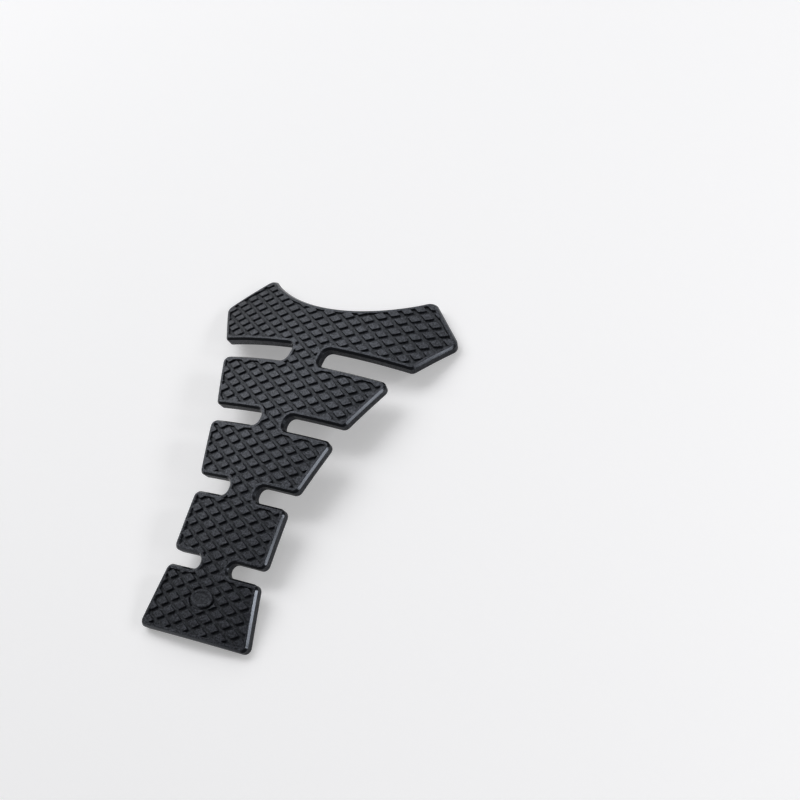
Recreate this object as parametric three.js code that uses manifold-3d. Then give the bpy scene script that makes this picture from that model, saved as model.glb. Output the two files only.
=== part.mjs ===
// Motorcycle tank pad: one piece of moulded rubber that sticks to the back of a fuel tank.
// A wing at the top and four segments below it hang on one spine, with open slots between them,
// and a tread of small diamond blocks covers its face. It is modelled with the curve it has once fixed.
// Millimetres, +Z up. X runs across the pad and +Y up the tank, towards the wing.
import * as THREE from 'three';
import { mergeVertices } from 'three/addons/utils/BufferGeometryUtils.js';
import { TessellateModifier } from 'three/addons/modifiers/TessellateModifier.js';
import Module from 'manifold-3d';

const wasm = await Module();
wasm.setup();

// Body: its thickness, and the chamfer round the edge of its face.
const THICKNESS = 5;
const CHAMFER = 1.25;

// Wing, laid flat, as places of the corners on its right. Heights are above its lower edge, which is y = 0.
// Its top is a hollow arc, lowest in the middle, from one horn to the other.
const WING_MIDDLE_Y = 26.6;
const HORN_X = 55;
const HORN_Y = 46.5;
const TIP_X = 80.6;
const TIP_Y = 24;
const HEEL_X = 63.9;
const HORN_ROUND = 5.5;
const TIP_ROUND = 4.5;
const HEEL_ROUND = 3.5;

// Segments from the wing down. Each has a slot and the spine's neck above it, then its own length along the
// pad and its widths at its upper and its lower edge.
const FIRST_SLOT = 11.4;
const FIRST_NECK = 21.1;
const FIRST_LENGTH = 31.1;
const FIRST_TOP_WIDTH = 114.6;
const FIRST_LOW_WIDTH = 86.8;
const SECOND_SLOT = 9.4;
const SECOND_NECK = 16.7;
const SECOND_LENGTH = 32;
const SECOND_TOP_WIDTH = 82.8;
const SECOND_LOW_WIDTH = 65.3;
const THIRD_SLOT = 9.2;
const THIRD_NECK = 18.5;
const THIRD_LENGTH = 33.4;
const THIRD_TOP_WIDTH = 61.4;
const THIRD_LOW_WIDTH = 61.6;
const FOURTH_SLOT = 7.8;
const FOURTH_NECK = 19;
const FOURTH_LENGTH = 35.4;
const FOURTH_TOP_WIDTH = 60.8;
const FOURTH_LOW_WIDTH = 73.6;
const SEGMENTS = [
  [FIRST_SLOT, FIRST_NECK, FIRST_LENGTH, FIRST_TOP_WIDTH, FIRST_LOW_WIDTH],
  [SECOND_SLOT, SECOND_NECK, SECOND_LENGTH, SECOND_TOP_WIDTH, SECOND_LOW_WIDTH],
  [THIRD_SLOT, THIRD_NECK, THIRD_LENGTH, THIRD_TOP_WIDTH, THIRD_LOW_WIDTH],
  [FOURTH_SLOT, FOURTH_NECK, FOURTH_LENGTH, FOURTH_TOP_WIDTH, FOURTH_LOW_WIDTH],
].map(([slot, neck, length, topWidth, lowWidth]) => ({ slot, neck, length, topWidth, lowWidth }));
const CORNER_ROUND = 3.6;
const SLOT_ROUND = 4;

// Tread: diamond blocks left standing between two families of grooves. Their walls lean by the draft,
// a share of the depth, and a flat rim runs between the grooves and the chamfer.
const BLOCK_PITCH_X = 12.5;
const BLOCK_PITCH_Y = 7.41;
const FIRST_BLOCK_Y = 1.3;
const GROOVE_DEPTH = 1.1;
const GROOVE_WIDTH = 2.5;
const GROOVE_DRAFT = 0.4;
const RIM_WIDTH = 1.25;

// Plain oval boss on the last segment, in a shallow oval well.
const BOSS_LENGTH = 14;
const BOSS_WIDTH = 9.4;
const BOSS_GAP = 1.6;
const BOSS_FROM_TAIL = 21.4;

// Curve of the tank: its radius along the pad at the wing and at the tail, and across the pad.
const WING_RADIUS = 270;
const TAIL_RADIUS = 2450;
const CROSS_RADIUS = 261;

// Fineness of the curves: the longest straight edge on the bent pad, and the steps along each curve.
const EDGE_LENGTH = 12;
const ROUND_STEPS = 3;
const ARC_STEPS = 12;
const OVAL_STEPS = 24;
const SPINE_STEPS = 64;

// Limits of the roundings: the least radius of an inset one, and the share of a side that one may take.
const LEAST_ROUND = 0.6;
const SIDE_SHARE = 0.49;

// Evening out of the triangles: distance and area that count as nothing, in mm, and the angle worth a swap.
const FLAT_DISTANCE = 0.01;
const LEAST_AREA = 0.001;
const SWAP_ANGLE = 0.001;

// Search for the tilt at which the pad stands level: its widest angle and its halvings.
const WIDEST_TILT = 0.5;
const TILT_PASSES = 40;

const tailY = -SEGMENTS.reduce((sum, segment) => sum + segment.slot + segment.length, 0);
const padLength = HORN_Y - tailY;
const grooveAngle = Math.atan(BLOCK_PITCH_Y / BLOCK_PITCH_X);

// Closed solid from a geometry, with its shared vertices merged.
function solid(geometry) {
  geometry.deleteAttribute('normal');
  geometry.deleteAttribute('uv');
  const merged = mergeVertices(geometry);
  return new wasm.Manifold(new wasm.Mesh({
    numProp: 3,
    vertProperties: new Float32Array(merged.attributes.position.array),
    triVerts: new Uint32Array(merged.index.array),
  }));
}

// Corners of the right half of the outline as x, y and rounding, from the horn down to the tail.
function rightCorners() {
  const corners = [
    [HORN_X, HORN_Y, HORN_ROUND],
    [TIP_X, TIP_Y, TIP_ROUND],
    [HEEL_X, 0, HEEL_ROUND],
  ];
  let y = 0;
  for (const segment of SEGMENTS) {
    corners.push([segment.neck / 2, y, SLOT_ROUND]);
    y -= segment.slot;
    corners.push([segment.neck / 2, y, SLOT_ROUND], [segment.topWidth / 2, y, CORNER_ROUND]);
    y -= segment.length;
    corners.push([segment.lowWidth / 2, y, CORNER_ROUND]);
  }
  return corners;
}

// Corner of an outline moved inwards by an inset, along the line that halves its angle.
function insetCorner(before, corner, after, inset) {
  const arriving = corner.clone().sub(before).normalize();
  const leaving = after.clone().sub(corner).normalize();
  const inward = new THREE.Vector2(-arriving.y - leaving.y, arriving.x + leaving.x);
  return corner.clone().addScaledVector(inward, inset / (1 + arriving.dot(leaving)));
}

// Points of a rounded corner: an arc that touches both of its sides.
function roundedCorner(before, corner, after, radius) {
  const toBefore = before.clone().sub(corner);
  const toAfter = after.clone().sub(corner);
  const halfAngle = toBefore.angleTo(toAfter) / 2;
  const longest = SIDE_SHARE * Math.min(toBefore.length(), toAfter.length());
  const reach = Math.min(radius / Math.tan(halfAngle), longest);
  toBefore.normalize();
  toAfter.normalize();
  const middle = toBefore.clone().add(toAfter).normalize();
  const centre = corner.clone().addScaledVector(middle, reach / Math.cos(halfAngle));
  const first = corner.clone().addScaledVector(toBefore, reach);
  const turn = (Math.PI - 2 * halfAngle) * Math.sign(toAfter.cross(toBefore));
  const points = [];
  for (let step = 0; step <= ROUND_STEPS; step += 1) {
    points.push(first.clone().rotateAround(centre, turn * step / ROUND_STEPS));
  }
  return points;
}

// Points between the horns on the hollow arc of the wing's top, from right to left, as unrounded corners.
function wingArc() {
  const rise = HORN_Y - WING_MIDDLE_Y;
  const radius = (HORN_X ** 2 + rise ** 2) / (2 * rise);
  const halfSweep = Math.asin(HORN_X / radius);
  const corners = [];
  for (let step = 1; step < ARC_STEPS; step += 1) {
    const angle = halfSweep * (1 - 2 * step / ARC_STEPS);
    corners.push([radius * Math.sin(angle), WING_MIDDLE_Y + radius * (1 - Math.cos(angle)), 0]);
  }
  return corners;
}

// Flat outline of the whole pad, anticlockwise from the left horn, moved in by an inset.
function padShape(inset) {
  const right = rightCorners();
  const left = right.map(([x, y, radius]) => [-x, y, radius]);
  const corners = [...left, ...right.reverse(), ...wingArc()];
  const places = corners.map(([x, y]) => new THREE.Vector2(x, y));
  const around = (list, i) => [list.at(i - 1), list[i], list[(i + 1) % list.length]];
  const moved = places.map((place, i) => insetCorner(...around(places, i), inset));
  const points = corners.flatMap(([, , radius], i) => {
    if (radius === 0) return [moved[i]];
    const [before, corner, after] = around(places, i);
    const hollow = corner.clone().sub(before).cross(after.clone().sub(corner)) < 0;
    const insetRadius = hollow ? radius + inset : Math.max(radius - inset, LEAST_ROUND);
    return roundedCorner(...around(moved, i), insetRadius);
  });
  return new THREE.Shape(points);
}

// Flat slab with a chamfer round its face only: the bevel at its back is cut away.
function slab() {
  const geometry = new THREE.ExtrudeGeometry(padShape(CHAMFER), {
    depth: THICKNESS,
    bevelThickness: CHAMFER,
    bevelSize: CHAMFER,
    bevelSegments: 1,
    steps: 1,
  });
  geometry.translate(0, 0, -CHAMFER);
  return solid(geometry).trimByPlane([0, 0, 1], 0);
}

// One groove's bar, wider above the face than at its floor, crossing the middle line at a height y.
function grooveBar(y, angle) {
  const length = padLength + TIP_X;
  const floor = THICKNESS - GROOVE_DEPTH;
  const top = THICKNESS + GROOVE_DEPTH;
  const lowHalf = GROOVE_WIDTH / 2 - GROOVE_DRAFT * GROOVE_DEPTH;
  const highHalf = GROOVE_WIDTH / 2 + GROOVE_DRAFT * GROOVE_DEPTH;
  const section = new THREE.Shape([
    new THREE.Vector2(-lowHalf, floor),
    new THREE.Vector2(lowHalf, floor),
    new THREE.Vector2(highHalf, top),
    new THREE.Vector2(-highHalf, top),
  ]);
  const geometry = new THREE.ExtrudeGeometry(section, { depth: length, bevelEnabled: false });
  geometry.translate(0, 0, -length / 2);
  geometry.rotateX(Math.PI / 2);
  geometry.rotateZ(Math.PI / 2 + angle);
  geometry.translate(0, y, 0);
  return solid(geometry);
}

// One family of parallel grooves, each crossing the middle line between two blocks.
function grooveFamily(angle) {
  const overhang = TIP_X * Math.tan(grooveAngle);
  const first = Math.floor((tailY - overhang - FIRST_BLOCK_Y) / BLOCK_PITCH_Y);
  const last = Math.ceil((HORN_Y + overhang - FIRST_BLOCK_Y) / BLOCK_PITCH_Y);
  const bars = [];
  for (let row = first; row <= last; row += 1) {
    bars.push(grooveBar(FIRST_BLOCK_Y + (row + 0.5) * BLOCK_PITCH_Y, angle));
  }
  return wasm.Manifold.union(bars);
}

// Room inside the rim, in which the grooves end against a drafted wall.
function treadField() {
  const reach = 2 * GROOVE_DEPTH;
  const run = GROOVE_DRAFT * reach;
  const geometry = new THREE.ExtrudeGeometry(padShape(CHAMFER + RIM_WIDTH + run), {
    depth: reach,
    bevelThickness: reach,
    bevelSize: run,
    bevelSegments: 1,
    steps: 1,
  });
  geometry.translate(0, 0, THICKNESS);
  return solid(geometry);
}

// Upright oval, from the tread's floor or below it to above the face.
function oval(length, width, floor) {
  const shape = new THREE.Shape();
  shape.absellipse(0, 0, length / 2, width / 2, 0, Math.PI * 2);
  const height = THICKNESS + GROOVE_DEPTH - floor;
  const geometry = new THREE.ExtrudeGeometry(shape, {
    depth: height,
    bevelEnabled: false,
    curveSegments: OVAL_STEPS,
  });
  geometry.translate(0, tailY + BOSS_FROM_TAIL, floor);
  return solid(geometry);
}

// Centre line of the tank's curve at a flat height y: its place and slope. The bend eases towards the tail.
function spine(y) {
  const easing = (1 / WING_RADIUS - 1 / TAIL_RADIUS) / padLength;
  const slopeAt = (s) => -(s / TAIL_RADIUS + easing * (s ** 2 / 2 - s * tailY));
  const stretch = y / SPINE_STEPS;
  let across = 0;
  let up = 0;
  for (let step = 0; step < SPINE_STEPS; step += 1) {
    const slope = slopeAt(stretch * (step + 0.5));
    across += Math.cos(slope) * stretch;
    up += Math.sin(slope) * stretch;
  }
  return { across, up, slope: slopeAt(y) };
}

// Bends the flat pad over the tank. Flat sizes stay true halfway down the tread.
function bend(point) {
  const neutral = THICKNESS - GROOVE_DEPTH / 2;
  const { across, up, slope } = spine(point.y);
  const angle = point.x / CROSS_RADIUS;
  const radius = CROSS_RADIUS + point.z - neutral;
  const height = radius * Math.cos(angle) - CROSS_RADIUS;
  point.set(radius * Math.sin(angle), across - Math.sin(slope) * height, up + Math.cos(slope) * height);
}

// Lowest vertex of the half of the pad on one side of the wing's lower edge, once tilted about X.
function lowest(geometry, side, tilt) {
  const position = geometry.attributes.position;
  let low = Infinity;
  for (let i = 0; i < position.count; i += 1) {
    const y = position.getY(i);
    if (y * side > 0) low = Math.min(low, y * Math.sin(tilt) + position.getZ(i) * Math.cos(tilt));
  }
  return low;
}

// Tilts the bent pad until the wing's tips and the tail's corners are level, and stands it on z = 0.
function settle(geometry) {
  let low = -WIDEST_TILT;
  let high = WIDEST_TILT;
  for (let pass = 0; pass < TILT_PASSES; pass += 1) {
    const tilt = (low + high) / 2;
    if (lowest(geometry, 1, tilt) < lowest(geometry, -1, tilt)) low = tilt;
    else high = tilt;
  }
  geometry.rotateX((low + high) / 2);
  geometry.computeBoundingBox();
  const { min, max } = geometry.boundingBox;
  geometry.translate(-(min.x + max.x) / 2, -(min.y + max.y) / 2, -min.z);
}

// Angle at the corner of a triangle, between its sides to two other points.
function angleAt(corner, first, second) {
  return first.clone().sub(corner).angleTo(second.clone().sub(corner));
}

// Twice the area of a triangle, counted positive where it faces along the normal.
function facingArea(a, b, c, normal) {
  return b.clone().sub(a).cross(c.clone().sub(a)).dot(normal);
}

// Swaps the diagonal of two flat neighbours that share the edge from a to b, if that makes them less thin.
function swapDiagonal(points, triangles, owner, key, a, b) {
  const [left, right] = [owner.get(key(a, b)), owner.get(key(b, a))];
  const c = triangles[left].find((vertex) => vertex !== a && vertex !== b);
  const d = triangles[right].find((vertex) => vertex !== a && vertex !== b);
  const [pa, pb, pc, pd] = [a, b, c, d].map((vertex) => points[vertex]);
  if (owner.has(key(c, d)) || owner.has(key(d, c))) return false;
  if (angleAt(pc, pa, pb) + angleAt(pd, pa, pb) < Math.PI + SWAP_ANGLE) return false;
  const normals = [[pa, pb, pc], [pb, pa, pd]].map(([p, q, r]) => q.clone().sub(p).cross(r.clone().sub(p)));
  const normal = normals[0].length() > normals[1].length() ? normals[0].normalize() : normals[1].normalize();
  if (Math.abs(pd.clone().sub(pa).dot(normal)) > FLAT_DISTANCE) return false;
  if (Math.abs(pc.clone().sub(pa).dot(normal)) > FLAT_DISTANCE) return false;
  if (facingArea(pa, pd, pc, normal) < LEAST_AREA || facingArea(pd, pb, pc, normal) < LEAST_AREA) return false;
  owner.delete(key(a, b));
  owner.delete(key(b, a));
  for (const [triangle, corners] of [[left, [a, d, c]], [right, [d, b, c]]]) {
    triangles[triangle] = corners;
    corners.forEach((vertex, i) => owner.set(key(vertex, corners[(i + 1) % 3]), triangle));
  }
  return true;
}

// Triangles of the same faces without needlessly long, thin ones, which would crease when bent.
function evenTriangles(points, triangles) {
  const key = (from, to) => from * points.length + to;
  const owner = new Map();
  triangles.forEach((corners, triangle) => {
    corners.forEach((vertex, i) => owner.set(key(vertex, corners[(i + 1) % 3]), triangle));
  });
  let swaps = 1;
  while (swaps > 0) {
    swaps = 0;
    for (const edge of [...owner.keys()]) {
      const [a, b] = [Math.floor(edge / points.length), edge % points.length];
      if (a < b && owner.has(edge) && swapDiagonal(points, triangles, owner, key, a, b)) swaps += 1;
    }
  }
  return triangles;
}

// Geometry of a finished flat solid, with edges short enough to bend, bent and set down. Three passes halve
// each side of a triangle once.
function bentGeometry(flat) {
  const mesh = flat.getMesh();
  const position = new THREE.BufferAttribute(mesh.vertProperties, 3);
  const points = Array.from({ length: position.count }, (_, i) => {
    return new THREE.Vector3().fromBufferAttribute(position, i);
  });
  const triangles = Array.from({ length: mesh.triVerts.length / 3 }, (_, i) => {
    return [...mesh.triVerts.slice(3 * i, 3 * i + 3)];
  });
  const geometry = new THREE.BufferGeometry().setFromPoints(points);
  geometry.setIndex(evenTriangles(points, triangles).flat());
  const halvings = Math.ceil(Math.log2(padLength / EDGE_LENGTH));
  const fine = mergeVertices(new TessellateModifier(EDGE_LENGTH, 3 * halvings).modify(geometry));
  const bent = fine.attributes.position;
  const point = new THREE.Vector3();
  for (let i = 0; i < bent.count; i += 1) {
    bend(point.fromBufferAttribute(bent, i));
    bent.setXYZ(i, point.x, point.y, point.z);
  }
  settle(fine);
  return fine;
}

const tread = treadField();
const rising = grooveFamily(grooveAngle).intersect(tread);
const falling = grooveFamily(-grooveAngle).intersect(tread);
const well = oval(BOSS_LENGTH + 2 * BOSS_GAP, BOSS_WIDTH + 2 * BOSS_GAP, THICKNESS - GROOVE_DEPTH);
const boss = oval(BOSS_LENGTH, BOSS_WIDTH, THICKNESS - 2 * GROOVE_DEPTH);
const relief = rising.add(falling).add(well).subtract(boss);
const flatPad = slab().subtract(relief).asOriginal().simplify(FLAT_DISTANCE);
const geometry = bentGeometry(flatPad);
geometry.computeVertexNormals();

const rubber = new THREE.MeshStandardMaterial({ color: 0x2b2c2e, roughness: 0.7, metalness: 0, flatShading: true });
const tankPad = new THREE.Mesh(geometry, rubber);
tankPad.name = 'tank_pad';

const model = new THREE.Group();
model.name = 'motorcycle_tank_pad';
model.add(tankPad);

export default model;
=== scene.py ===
import math

import bpy
from mathutils import Matrix, Quaternion, Vector


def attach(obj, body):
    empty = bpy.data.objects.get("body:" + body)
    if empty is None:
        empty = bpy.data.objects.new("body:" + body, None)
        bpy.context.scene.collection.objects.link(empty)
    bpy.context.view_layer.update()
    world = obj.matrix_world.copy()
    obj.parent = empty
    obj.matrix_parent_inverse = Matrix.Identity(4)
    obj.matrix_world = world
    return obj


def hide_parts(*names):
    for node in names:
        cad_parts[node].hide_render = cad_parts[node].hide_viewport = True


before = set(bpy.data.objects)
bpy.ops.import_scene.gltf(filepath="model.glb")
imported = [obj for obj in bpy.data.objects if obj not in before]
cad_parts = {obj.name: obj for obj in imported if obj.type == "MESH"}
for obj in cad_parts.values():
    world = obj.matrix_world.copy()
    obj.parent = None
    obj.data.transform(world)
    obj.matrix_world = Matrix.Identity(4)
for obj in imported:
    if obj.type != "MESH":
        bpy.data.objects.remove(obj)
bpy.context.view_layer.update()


# Tank pad, its flat body: one sheet of black rubber, pressed to shape in a steel mould. A wing sits at the
# top and four segments hang below it on one spine, with open slots between them. Sizes are those of the pad
# laid flat, in millimetres, with y = 0 at the wing's lower edge.
MM = 0.001
THICKNESS = 5
CHAMFER = 1.25
EDGE_SOFTNESS = 0.2
EDGE_PARTS = 2
WING_MIDDLE_Y = 26.6
HORN_X, HORN_Y, HORN_ROUND = 55, 46.5, 5.5
TIP_X, TIP_Y, TIP_ROUND = 80.6, 24, 4.5
HEEL_X, HEEL_ROUND = 63.9, 3.5
SEGMENTS = [
    {"slot": 11.4, "neck": 21.1, "length": 31.1, "top_width": 114.6, "low_width": 86.8},
    {"slot": 9.4, "neck": 16.7, "length": 32, "top_width": 82.8, "low_width": 65.3},
    {"slot": 9.2, "neck": 18.5, "length": 33.4, "top_width": 61.4, "low_width": 61.6},
    {"slot": 7.8, "neck": 19, "length": 35.4, "top_width": 60.8, "low_width": 73.6},
]
CORNER_ROUND = 3.6
SLOT_ROUND = 4
CORNER_STEPS = 8
ARC_STEPS = 20
LONGEST_SHARE = 0.49
FIRST_ARC_SHARE = 1 / 6
TOLERANCE = 0.01

tail_y = -sum(segment["slot"] + segment["length"] for segment in SEGMENTS)


def take(obj):
    """Makes one object the only selected one, ready to be worked on."""
    bpy.ops.object.select_all(action="DESELECT")
    obj.select_set(True)
    bpy.context.view_layer.objects.active = obj


def start_line(place):
    """A new object with a single vertex, from which a line is drawn."""
    bpy.ops.object.select_all(action="DESELECT")
    bpy.ops.mesh.primitive_plane_add(size=MM)
    bpy.ops.object.mode_set(mode="EDIT")
    bpy.ops.mesh.select_mode(type="VERT")
    bpy.ops.mesh.merge(type="CENTER")
    bpy.ops.transform.translate(value=Vector(place) * MM)
    bpy.ops.object.mode_set(mode="OBJECT")
    return bpy.context.object


def line_end(obj):
    """Place of the selected end of the line, in millimetres."""
    return next(vertex.co for vertex in obj.data.vertices if vertex.select) / MM


def draw_to(obj, place):
    """Draws the line straight on to a place."""
    step = (Vector(place) - line_end(obj)) * MM
    bpy.ops.object.mode_set(mode="EDIT")
    bpy.ops.mesh.extrude_vertices_move(TRANSFORM_OT_translate={"value": step})
    bpy.ops.object.mode_set(mode="OBJECT")


def draw_arc(centre, turn, steps):
    """Draws the line on along an arc about a centre, anticlockwise for a positive turn."""
    bpy.ops.object.mode_set(mode="EDIT")
    bpy.ops.mesh.spin(steps=steps, angle=-turn, center=Vector(centre) * MM, axis=(0, 0, 1))
    bpy.ops.object.mode_set(mode="OBJECT")


def draw_round_corner(obj, before, corner, after, radius, steps):
    """Draws the line on to a corner and round it, as an arc that touches both of its sides."""
    to_before = before - corner
    to_after = after - corner
    half_angle = to_before.angle(to_after) / 2
    longest = LONGEST_SHARE * min(to_before.length, to_after.length)
    reach = min(radius / math.tan(half_angle), longest)
    to_before.normalize()
    to_after.normalize()
    centre = corner + (to_before + to_after).normalized() * reach / math.cos(half_angle)
    side = math.copysign(1, to_after.cross(to_before).z)
    draw_to(obj, corner + to_before * reach)
    draw_arc(centre, side * (math.pi - 2 * half_angle), steps)


def fill_line(obj):
    """Closes the line and fills it with one flat face, which looks up."""
    take(obj)
    bpy.ops.object.mode_set(mode="EDIT")
    bpy.ops.mesh.select_all(action="SELECT")
    bpy.ops.mesh.remove_doubles(threshold=TOLERANCE * MM)
    bpy.ops.mesh.edge_face_add()
    bpy.ops.mesh.normals_make_consistent(inside=False)
    bpy.ops.object.mode_set(mode="OBJECT")


right_corners = []
level = tail_y
for segment in reversed(SEGMENTS):
    right_corners.append((segment["low_width"] / 2, level, CORNER_ROUND))
    level += segment["length"]
    right_corners.append((segment["top_width"] / 2, level, CORNER_ROUND))
    right_corners.append((segment["neck"] / 2, level, SLOT_ROUND))
    level += segment["slot"]
    right_corners.append((segment["neck"] / 2, level, SLOT_ROUND))
right_corners += [(HEEL_X, 0, HEEL_ROUND), (TIP_X, TIP_Y, TIP_ROUND), (HORN_X, HORN_Y, HORN_ROUND)]

# The wing's top is a hollow arc between the horns. A short straight stretch joins it to each rounded horn.
arc_rise = HORN_Y - WING_MIDDLE_Y
arc_radius = (HORN_X ** 2 + arc_rise ** 2) / (2 * arc_rise)
arc_turn = math.asin(HORN_X / arc_radius) * (1 - FIRST_ARC_SHARE)
arc_centre = Vector((0, WING_MIDDLE_Y + arc_radius, 0))
arc_start = arc_centre + arc_radius * Vector((math.sin(arc_turn), -math.cos(arc_turn), 0))

outline = start_line((0, tail_y, 0))
outline.name = "pad_outline"
places = [Vector((x, y, 0)) for x, y, _ in right_corners]
befores = [Vector((-right_corners[0][0], tail_y, 0))] + places[:-1]
afters = places[1:] + [arc_start]
for before, corner, after, (_, _, radius) in zip(befores, places, afters, right_corners):
    draw_round_corner(outline, before, corner, after, radius, CORNER_STEPS)
draw_to(outline, arc_start)
draw_arc(arc_centre, -arc_turn, ARC_STEPS)

take(outline)
bpy.ops.object.modifier_add(type="MIRROR")
bpy.ops.object.modifier_apply(modifier=outline.modifiers[0].name)
fill_line(outline)

take(outline)
bpy.ops.object.duplicate()
pad = bpy.context.object
pad.name = "tank_pad_moulding"


def round_over(radius, start, end, parts):
    """Sideways run and rise of each short face that rounds a corner, between two slopes in degrees."""
    chord = 2 * radius * math.sin(math.radians(abs(end - start)) / parts / 2)
    slopes = [math.radians(start + (end - start) * (part + 0.5) / parts) for part in range(parts)]
    return [(chord * math.cos(slope), chord * math.sin(slope)) for slope in slopes]


def inset_by(steps):
    """Insets the selected face again and again, and lifts it each time."""
    for run, rise in steps:
        bpy.ops.mesh.inset(thickness=run * MM, depth=rise * MM, use_even_offset=True)


# The walls rise from the back, then the face is chamfered. Both edges of the chamfer are slightly rounded.
soft_edge = round_over(EDGE_SOFTNESS, 90, 45, EDGE_PARTS)
soft_run = sum(run for run, _ in soft_edge)
soft_rise = sum(rise for _, rise in soft_edge)
flat_chamfer = CHAMFER - soft_run - soft_rise
upper_edge = [(rise, run) for run, rise in reversed(soft_edge)]
take(pad)
bpy.ops.object.mode_set(mode="EDIT")
bpy.ops.mesh.select_mode(type="FACE")
bpy.ops.mesh.select_all(action="SELECT")
wall = {"value": (0, 0, (THICKNESS - CHAMFER) * MM)}
bpy.ops.mesh.extrude_region_move(TRANSFORM_OT_translate=wall)
inset_by(soft_edge + [(flat_chamfer, flat_chamfer)] + upper_edge)
bpy.ops.mesh.select_all(action="SELECT")
bpy.ops.mesh.normals_make_consistent(inside=False)
bpy.ops.object.mode_set(mode="OBJECT")

# The chamfer is polished in the mould, and its faces are marked for the rubber's material.
polish = pad.data.attributes.new("polish", "FLOAT", "FACE")
for face in pad.data.polygons:
    polish.data[face.index].value = THICKNESS - CHAMFER < face.center.z / MM < THICKNESS - TOLERANCE


# Tread: the mould leaves small diamond blocks standing on a floor sunk into the face. Round them is a flat
# rim, and those at the border run into it. Their walls lean so that the rubber leaves the mould, and every
# lip, floor corner and block corner is slightly rounded.

# SINK is how far a tool reaches past what it cuts, and OVERCUT how far a rounding runs on past its surface.
BLOCK_PITCH_X = 12.5
BLOCK_PITCH_Y = 7.41
FIRST_BLOCK_Y = 1.3
GROOVE_DEPTH = 1.1
GROOVE_WIDTH = 2.3
GROOVE_DRAFT = 0.3
RIM_WIDTH = 1.25
BLOCK_LIP_ROUND, BLOCK_LIP_PARTS = 0.17, 3
BLOCK_FOOT_ROUND, BLOCK_FOOT_PARTS = 0.18, 2
BLOCK_CORNER_ROUND, BLOCK_CORNER_STEPS = 0.06, 2
RIM_LIP_ROUND, RIM_LIP_PARTS = 0.1, 2
RIM_FOOT_ROUND, RIM_FOOT_PARTS = 0.14, 1
SINK = 0.3
OVERCUT = 0.08

floor_height = THICKNESS - GROOVE_DEPTH
wall_slope = 90 - math.degrees(math.atan(GROOVE_DRAFT))


def tangent(radius):
    """Distance from a corner between floor and wall to where its rounding starts."""
    return radius * math.tan(math.radians(wall_slope / 2))


def wall_profile(foot_radius, foot_parts, lip_radius, lip_parts, depth):
    """Run and rise of each short face of a wall, from the floor's rounding up to the lip's."""
    foot = round_over(foot_radius, 0, wall_slope, foot_parts)
    lip = round_over(lip_radius, wall_slope, 0, lip_parts)
    rise = depth - sum(part for _, part in foot + lip)
    return foot + [(GROOVE_DRAFT * rise, rise)] + lip


def overcut(step):
    """Carries a rounding's last face a little past the surface that it meets."""
    share = OVERCUT / math.hypot(*step)
    return step[0] * share, step[1] * share


def extrude_by(step):
    """Extrudes the selected faces, and leaves the new ones selected."""
    bpy.ops.mesh.extrude_region_move(TRANSFORM_OT_translate={"value": Vector(step) * MM})


def start_faces(sheet, height):
    """Starts work on a flat sheet's face, at a height."""
    take(sheet)
    bpy.ops.object.mode_set(mode="EDIT")
    bpy.ops.mesh.select_mode(type="FACE")
    bpy.ops.mesh.select_all(action="SELECT")
    bpy.ops.transform.translate(value=(0, 0, height * MM))


def face_outwards():
    """Turns every face of a closed body outwards, and leaves edit mode."""
    bpy.ops.mesh.select_all(action="SELECT")
    bpy.ops.mesh.normals_make_consistent(inside=False)
    bpy.ops.object.mode_set(mode="OBJECT")


def shrink_sheet(margin):
    """Leaves only the part of the selected face that lies a margin inside its edge."""
    inset_by([(margin, 0)])
    bpy.ops.mesh.select_all(action="INVERT")
    bpy.ops.mesh.delete(type="FACE")
    bpy.ops.mesh.select_all(action="SELECT")


def sunk_tool(sheet, margin, depth):
    """Turns a flat sheet into the cutter of a sunk field, whose wall starts a margin inside its edge."""
    profile = wall_profile(RIM_FOOT_ROUND, RIM_FOOT_PARTS, RIM_LIP_ROUND, RIM_LIP_PARTS, depth)
    past_run, past_rise = overcut(profile[-1])
    start_faces(sheet, THICKNESS + SINK)
    shrink_sheet(margin - tangent(RIM_LIP_ROUND) - past_run)
    extrude_by((0, 0, past_rise - SINK))
    inset_by([(past_run, -past_rise)] + [(run, -rise) for run, rise in reversed(profile)])
    face_outwards()
    return sheet


def combine(body, tool, operation):
    """Joins, cuts or trims a closed body with a closed tool, which is used up."""
    take(body)
    bpy.ops.object.modifier_add(type="BOOLEAN")
    modifier = body.modifiers[0]
    modifier.operation = operation
    modifier.solver = "MANIFOLD"
    modifier.object = tool
    bpy.ops.object.modifier_apply(modifier=modifier.name)
    bpy.data.objects.remove(tool)


def copy_of(obj):
    """Copy of an object with its own mesh."""
    take(obj)
    bpy.ops.object.duplicate()
    return bpy.context.object


def repeat(obj, count, step):
    """Repeats an object's mesh in a row."""
    take(obj)
    bpy.ops.object.modifier_add(type="ARRAY")
    array = obj.modifiers[0]
    array.count = count
    array.use_relative_offset = False
    array.use_constant_offset = True
    array.constant_offset_displace = Vector(step) * MM
    bpy.ops.object.modifier_apply(modifier=array.name)


combine(pad, sunk_tool(copy_of(outline), CHAMFER + RIM_WIDTH, GROOVE_DEPTH), "DIFFERENCE")

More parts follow.
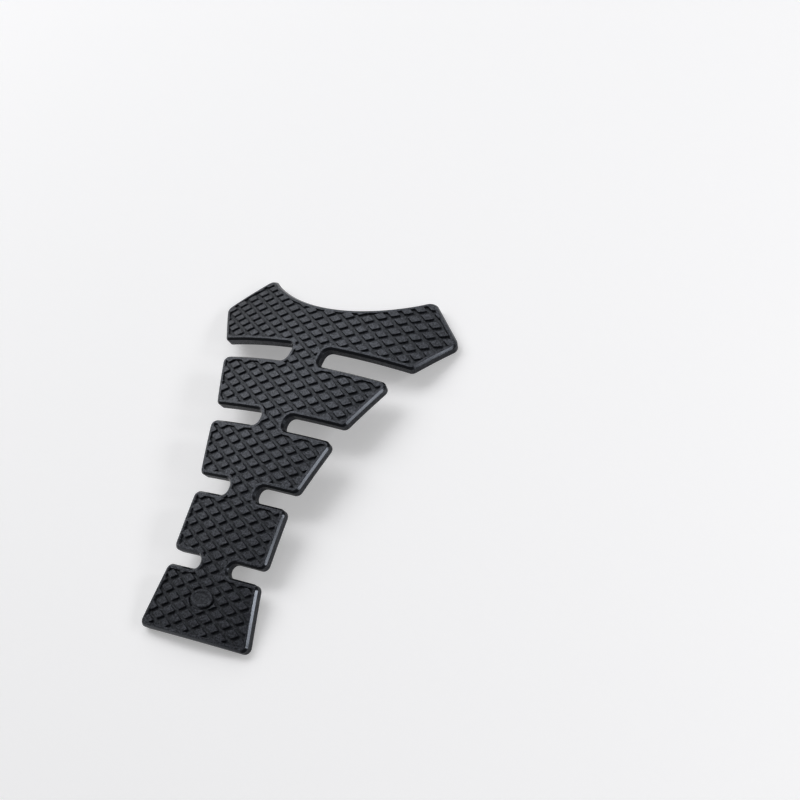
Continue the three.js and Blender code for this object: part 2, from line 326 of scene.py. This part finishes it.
# One block, drawn at the first place of the rows and then repeated over the whole pad.
block_rounds = BLOCK_FOOT_ROUND, BLOCK_FOOT_PARTS, BLOCK_LIP_ROUND, BLOCK_LIP_PARTS
block_profile = wall_profile(*block_rounds, GROOVE_DEPTH)
foot_run, foot_rise = overcut(block_profile[0])
half_pitch = Vector((BLOCK_PITCH_X / 2, BLOCK_PITCH_Y / 2, 0))
groove_reach = half_pitch.x * half_pitch.y / half_pitch.length
wall_reach = groove_reach - GROOVE_WIDTH / 2 + GROOVE_DRAFT * GROOVE_DEPTH
foot_share = (wall_reach + tangent(BLOCK_FOOT_ROUND) + foot_run) / groove_reach
rows = math.ceil((HORN_Y - tail_y) / BLOCK_PITCH_Y) + 1
columns = 2 * math.ceil(TIP_X / BLOCK_PITCH_X) + 1
rows_below = math.ceil((FIRST_BLOCK_Y - tail_y) / BLOCK_PITCH_Y)
first_y = FIRST_BLOCK_Y - rows_below * BLOCK_PITCH_Y
first_place = Vector((-(columns // 2) * BLOCK_PITCH_X, first_y, 0))
directions = [Vector((1, 0, 0)), Vector((0, 1, 0)), Vector((-1, 0, 0)), Vector((0, -1, 0))]
tips = [first_place + foot_share * half_pitch * direction for direction in directions]
foot_corner = BLOCK_CORNER_ROUND + sum(run for run, _ in block_profile) + foot_run
blocks = start_line((tips[3] + tips[0]) / 2)
for number in range(4):
    before, corner, after = tips[number - 1], tips[number], tips[(number + 1) % 4]
    draw_round_corner(blocks, before, corner, after, foot_corner, BLOCK_CORNER_STEPS)
fill_line(blocks)
start_faces(blocks, floor_height - foot_rise - SINK)
extrude_by((0, 0, SINK))
inset_by([(foot_run, foot_rise)] + block_profile)
face_outwards()
repeat(blocks, columns, (BLOCK_PITCH_X, 0, 0))
repeat(blocks, rows, (0, BLOCK_PITCH_Y, 0))
repeat(blocks, 2, half_pitch)

# The blocks are trimmed inside the rim, where the cut doesn't show.
trim = copy_of(outline)
start_faces(trim, floor_height - 2 * SINK)
shrink_sheet(CHAMFER + RIM_WIDTH / 2)
extrude_by((0, 0, GROOVE_DEPTH + 3 * SINK))
face_outwards()
combine(blocks, trim, "INTERSECT")


# Badge: a small plain oval stands in a shallow well on the last segment, part of the same moulding. Its edge
# is rounded, and its middle is a little lower than the rim round it.
BOSS_LENGTH = 14
BOSS_WIDTH = 9.4
BOSS_GAP = 1.6
BOSS_FROM_TAIL = 21.4
BOSS_RIM = 1
WELL_MARGIN = 1
OVAL_SIDES = 64
DISH_SLOPE = 60


def oval_sheet(length, width):
    """Flat oval face on the last segment, at z = 0."""
    bpy.ops.object.select_all(action="DESELECT")
    place = Vector((0, tail_y + BOSS_FROM_TAIL, 0)) * MM
    bpy.ops.mesh.primitive_circle_add(vertices=OVAL_SIDES, radius=MM / 2, fill_type="NGON", location=place)
    bpy.ops.transform.resize(value=(length, width, 1))
    bpy.ops.object.transform_apply(location=True, rotation=True, scale=True)
    return bpy.context.object


well_spread = 2 * (BOSS_GAP + WELL_MARGIN)
well = oval_sheet(BOSS_LENGTH + well_spread, BOSS_WIDTH + well_spread)
combine(blocks, sunk_tool(well, WELL_MARGIN, GROOVE_DEPTH + SINK / 2), "DIFFERENCE")
combine(pad, blocks, "UNION")

boss = oval_sheet(BOSS_LENGTH, BOSS_WIDTH)
boss_edge = round_over(BLOCK_LIP_ROUND, 90, 0, BLOCK_LIP_PARTS)
dish_lip = round_over(BLOCK_LIP_ROUND, 0, -DISH_SLOPE, 2)
dish_foot = round_over(BLOCK_LIP_ROUND, -DISH_SLOPE, 0, 2)
start_faces(boss, floor_height - GROOVE_DEPTH)
extrude_by((0, 0, 2 * GROOVE_DEPTH - BLOCK_LIP_ROUND))
inset_by(boss_edge + [(BOSS_RIM, 0)] + dish_lip + dish_foot)
face_outwards()
combine(pad, boss, "UNION")


# Curve: the pad leaves its mould flat, and it is soft enough to be bonded bent in both directions, tightest
# at the wing and easing towards the tail. It then rests on its wing tips and its tail corners. Lengths stay
# true halfway down the tread.
WING_RADIUS = 270
TAIL_RADIUS = 2450
CROSS_RADIUS = 261
SLICE = 6
SLIVER = 0.002
SPINE_STEPS = 64
TILT_HALVINGS = 30
SHARP_ANGLE = 38

# Slices across and along give the faces enough edges to bend at.
bpy.data.objects.remove(outline)
take(pad)
bpy.ops.object.mode_set(mode="EDIT")


def slice_at(place, normal):
    """Cuts edges into the whole mesh along a plane."""
    bpy.ops.mesh.select_all(action="SELECT")
    bpy.ops.mesh.bisect(plane_co=Vector(place) * MM, plane_no=normal, threshold=TOLERANCE * MM)


for number in range(1, math.ceil((HORN_Y - tail_y) / SLICE)):
    slice_at((0, tail_y + number * SLICE, 0), (0, 1, 0))
slices_across = math.floor(TIP_X / SLICE)
for number in range(-slices_across, slices_across + 1):
    slice_at((number * SLICE, 0, 0), (1, 0, 0))
bpy.ops.mesh.select_all(action="SELECT")
bpy.ops.mesh.quads_convert_to_tris(quad_method="BEAUTY", ngon_method="BEAUTY")
bpy.ops.mesh.dissolve_degenerate(threshold=SLIVER * MM)
bpy.ops.object.mode_set(mode="OBJECT")

# Each vertex keeps its height in the flat pad, for the rubber's material.
kept_height = pad.data.attributes.new("flat_height", "FLOAT", "POINT")
for vertex in pad.data.vertices:
    kept_height.data[vertex.index].value = vertex.co.z / MM


def slope_at(y):
    """Slope of the pad's length at a flat height y."""
    easing = (1 / WING_RADIUS - 1 / TAIL_RADIUS) / (HORN_Y - tail_y)
    return -(y / TAIL_RADIUS + easing * (y ** 2 / 2 - y * tail_y))


def bent(flat):
    """Place on the bent pad of a place on the flat one, in millimetres."""
    stretch = flat.y / SPINE_STEPS
    slopes = [slope_at(stretch * (step + 0.5)) for step in range(SPINE_STEPS)]
    across = sum(math.cos(slope) for slope in slopes) * stretch
    up = sum(math.sin(slope) for slope in slopes) * stretch
    slope = slope_at(flat.y)
    angle = flat.x / CROSS_RADIUS
    radius = CROSS_RADIUS + flat.z - THICKNESS + GROOVE_DEPTH / 2
    rise = radius * math.cos(angle) - CROSS_RADIUS
    place = (radius * math.sin(angle), across - math.sin(slope) * rise, up + math.cos(slope) * rise)
    return Vector(place)


for vertex in pad.data.vertices:
    vertex.co = bent(vertex.co / MM) * MM

# Tilted until the wing tips and the tail corners are level, it stands on z = 0, centred on the frame.
pad.data.update()
lean = 0.5
tilt = 0
for _ in range(TILT_HALVINGS):
    up = Vector((0, math.sin(tilt), math.cos(tilt)))
    heights = [(vertex.co.y, vertex.co.dot(up)) for vertex in pad.data.vertices]
    wing_low = min(height for y, height in heights if y > 0)
    tail_low = min(height for y, height in heights if y < 0)
    lean /= 2
    tilt += lean if wing_low < tail_low else -lean
pad.data.transform(Matrix.Rotation(tilt, 4, "X"))
lowest = Vector(min(vertex.co[axis] for vertex in pad.data.vertices) for axis in range(3))
highest = Vector(max(vertex.co[axis] for vertex in pad.data.vertices) for axis in range(3))
middle = (lowest + highest) / 2
pad.data.transform(Matrix.Translation((-middle.x, -middle.y, -lowest.z)))
pad.data.update()

# Flat faces stay flat in the light, and the small rounded ones between them are shaded as curves.
take(pad)
bpy.ops.object.shade_smooth_by_angle(angle=math.radians(SHARP_ANGLE))
bpy.ops.object.modifier_add(type="WEIGHTED_NORMAL")
pad.modifiers[0].keep_sharp = True
bpy.ops.object.modifier_apply(modifier=pad.modifiers[0].name)


# Rubber: EPDM filled with carbon black, pressed in a mould whose face is spark-eroded. That gives a charcoal,
# half-matt skin with a fine pale speckle. Below the top face, on the walls and floors of the tread and on the
# sides, it is rougher and painted darker as shade. The mould is polished along the chamfer, where the rubber
# comes out glossy.

# The eroded grain is about 0.1 mm, too fine to show at arm's length, so it is drawn at 0.9 mm. The cloudy
# patches are 14 mm wide. A SPAN holds the values between which the speckle, the patches or the low rubber's
# painted
# shade and roughness set in: of the grain, of the blotches and of the height in the flat pad.
GRAIN = 0.9
BLOTCH = 14
RUBBER = "#08090b"
RUBBER_PALE = "#2c2d33"
# Painted shade: the rubber below the top face, with the walls and floors of the tread, is coloured darker.
RUBBER_PAINTED_SHADE = "#0e0f12"
FACE_ROUGHNESS = 0.32, 0.46
LOW_ROUGHNESS = 0.52
POLISHED_ROUGHNESS = 0.2
CAVITY_SHEEN = 0.24, 0.66
POLISHED_SHEEN = 0.5
# Painted light: the rubber's reflections are tinted pale blue, standing in for a bluish light.
PAINTED_BLUE_REFLECTION_TINT = "#e8f0ff"
RUBBER_IOR = 1.5
SPECKLE_SPAN = 0.4, 0.64
PATCH_SPAN = 0.2, 1.4
LOW_SPAN = THICKNESS - 0.05, THICKNESS - 0.25
RELIEF_HEIGHT = 0.3
RELIEF_STRENGTH = 0.8
POLISHED_STRENGTH = 0.02


def linear(hex_colour):
    """Linear colour of an sRGB hex value."""
    parts = [int(hex_colour[i:i + 2], 16) / 255 for i in (1, 3, 5)]
    return [p / 12.92 if p <= 0.04045 else ((p + 0.055) / 1.055) ** 2.4 for p in parts] + [1]


def add_node(tree, kind, inputs=None, **settings):
    """Adds a node with its settings, and gives inputs, by name or number, their value or their link."""
    node = tree.nodes.new(kind)
    for name, value in settings.items():
        setattr(node, name, value)
    for key, source in (inputs or {}).items():
        if isinstance(source, bpy.types.NodeSocket):
            tree.links.new(source, node.inputs[key])
        else:
            node.inputs[key].default_value = source
    return node


rubber = bpy.data.materials.new("moulded EPDM rubber")
rubber.use_nodes = True
tree = rubber.node_tree
place = add_node(tree, "ShaderNodeTexCoord").outputs["Object"]
fine = {"Vector": place, "Scale": 1 / (GRAIN * MM), "Detail": 3, "Roughness": 0.6}
grain = add_node(tree, "ShaderNodeTexNoise", fine).outputs["Fac"]
coarse = {"Vector": place, "Scale": 1 / (BLOTCH * MM), "Detail": 4, "Roughness": 0.6}
blotch = add_node(tree, "ShaderNodeTexNoise", coarse).outputs["Fac"]
flat_height = add_node(tree, "ShaderNodeAttribute", attribute_name="flat_height").outputs["Fac"]
polished = add_node(tree, "ShaderNodeAttribute", attribute_name="polish").outputs["Fac"]

# Shares from 0 to 1 of the speckle, the patches and the low rubber, which is rougher and painted darker as
# shade.
shares = []
for source, span in ((grain, SPECKLE_SPAN), (blotch, PATCH_SPAN), (flat_height, LOW_SPAN)):
    limits = {"Value": source, "From Min": span[0], "From Max": span[1]}
    shares.append(add_node(tree, "ShaderNodeMapRange", limits).outputs["Result"])
speckle, patches, is_low = shares

# A Mix node's colours are its inputs 6 and 7 and its output 2.
colour = linear(RUBBER)
# The low rubber gets its painted shade, darker than the face.
for share, layer in ((speckle, RUBBER_PALE), (patches, RUBBER_PALE), (is_low, RUBBER_PAINTED_SHADE)):
    mixed = {"Factor": share, 6: colour, 7: linear(layer)}
    colour = add_node(tree, "ShaderNodeMix", mixed, data_type="RGBA").outputs[2]

limits = {"Value": grain, "To Min": FACE_ROUGHNESS[0], "To Max": FACE_ROUGHNESS[1]}
roughness = add_node(tree, "ShaderNodeMapRange", limits).outputs["Result"]
for share, layer in ((is_low, LOW_ROUGHNESS), (polished, POLISHED_ROUGHNESS)):
    mixed = {"Factor": share, "A": roughness, "B": layer}
    roughness = add_node(tree, "ShaderNodeMix", mixed).outputs[0]

# The hollows of the grain hold back part of the reflection.
limits = {"Value": speckle, "To Min": CAVITY_SHEEN[0], "To Max": CAVITY_SHEEN[1]}
hollows = add_node(tree, "ShaderNodeMapRange", limits).outputs["Result"]
mixed = {"Factor": polished, "A": hollows, "B": POLISHED_SHEEN}
sheen = add_node(tree, "ShaderNodeMix", mixed).outputs[0]

limits = {"Value": polished, "To Min": RELIEF_STRENGTH, "To Max": POLISHED_STRENGTH}
strength = add_node(tree, "ShaderNodeMapRange", limits).outputs["Result"]
relief = {"Height": grain, "Strength": strength, "Distance": RELIEF_HEIGHT * MM}
normal = add_node(tree, "ShaderNodeBump", relief).outputs["Normal"]

shader = tree.nodes["Principled BSDF"]
tree.links.new(colour, shader.inputs["Base Color"])
tree.links.new(roughness, shader.inputs["Roughness"])
tree.links.new(sheen, shader.inputs["Specular IOR Level"])
tree.links.new(normal, shader.inputs["Normal"])
shader.inputs["IOR"].default_value = RUBBER_IOR
# The reflections get their painted blue tint.
shader.inputs["Specular Tint"].default_value = linear(PAINTED_BLUE_REFLECTION_TINT)
pad.data.materials.clear()
pad.data.materials.append(rubber)

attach(pad, "root")
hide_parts("tank_pad")


# Stand: a plain pale floor under two large soft lamps, one behind the pad and one at its left. Two small
# lamps low on the right draw the bright line along the right-hand chamfers. Seen or reflected, the floor is
# a little brighter than the lamps make it, which keeps the shadows pale.
FLOOR_SIZE = 8
FLOOR_COLOUR = "#e8e8ea"
FLOOR_ROUGHNESS = 0.9
FLOOR_SHEEN = 0.1
FLOOR_GLOW = 0.3
WORLD_LIGHT = 0.12
WHITE = (1, 1, 1, 1)
bpy.ops.object.select_all(action="DESELECT")
bpy.ops.mesh.primitive_plane_add(size=FLOOR_SIZE)
floor = bpy.context.object
floor.name = "floor"
floor_paint = bpy.data.materials.new("pale studio floor")
floor_paint.use_nodes = True
tree = floor_paint.node_tree
paint = tree.nodes["Principled BSDF"]
paint.inputs["Base Color"].default_value = linear(FLOOR_COLOUR)
paint.inputs["Roughness"].default_value = FLOOR_ROUGHNESS
paint.inputs["Specular IOR Level"].default_value = FLOOR_SHEEN
rays = add_node(tree, "ShaderNodeLightPath").outputs
seen = rays["Is Camera Ray"]
for name in ("Is Glossy Ray", "Is Transmission Ray"):
    seen = add_node(tree, "ShaderNodeMath", {0: seen, 1: rays[name]}, operation="MAXIMUM").outputs[0]
glow = add_node(tree, "ShaderNodeMapRange", {"Value": seen, "To Max": FLOOR_GLOW}).outputs["Result"]
tree.links.new(glow, paint.inputs["Emission Strength"])
paint.inputs["Emission Color"].default_value = WHITE
floor.data.materials.append(floor_paint)


def soft_light(name, place, size, watts, roll=0):
    """A rectangular area light that faces the pad from a place, in metres, turned about its own axis."""
    bpy.ops.object.light_add(type="AREA", location=place)
    lamp = bpy.context.object
    lamp.name = name
    lamp.data.shape = "RECTANGLE"
    lamp.data.size, lamp.data.size_y = size
    lamp.data.energy = watts
    facing = Vector(place).to_track_quat("Z", "Y")
    lamp.rotation_euler = (facing @ Quaternion((0, 0, 1), math.radians(roll))).to_euler()


soft_light("back_softbox", (-0.96, 1.73, 1.68), (3.8, 2.6), 33)
soft_light("key_softbox", (-1.54, 0.92, 1.82), (2.4, 1.2), 27, -35)
soft_light("right_strip", (1.07, 0.3, 0.52), (0.22, 0.2), 2.5)
soft_light("right_fill", (1.13, -0.1, 0.49), (0.35, 0.18), 2)

world = bpy.data.worlds.new("studio")
bpy.context.scene.world = world
world.use_nodes = True
backdrop = world.node_tree.nodes["Background"]
backdrop.inputs["Color"].default_value = WHITE
backdrop.inputs["Strength"].default_value = WORLD_LIGHT

# Camera: about a metre away with a short telephoto lens, rolled so that the pad leans in the picture.
CAMERA_PLACE = (622.16, -296.22, 757.92)
CAMERA_AIM = (63.12, 44.84, 10)
CAMERA_ROLL = -41.08
LENS = 86.49
SENSOR = 36
bpy.ops.object.camera_add(location=Vector(CAMERA_PLACE) * MM)
camera = bpy.context.object
look = (Vector(CAMERA_AIM) - Vector(CAMERA_PLACE)).to_track_quat("-Z", "Y")
camera.rotation_euler = (look @ Quaternion((0, 0, 1), math.radians(CAMERA_ROLL))).to_euler()
camera.data.lens = LENS
camera.data.sensor_width = SENSOR
bpy.context.scene.camera = camera
bpy.context.scene.view_settings.view_transform = "Standard"
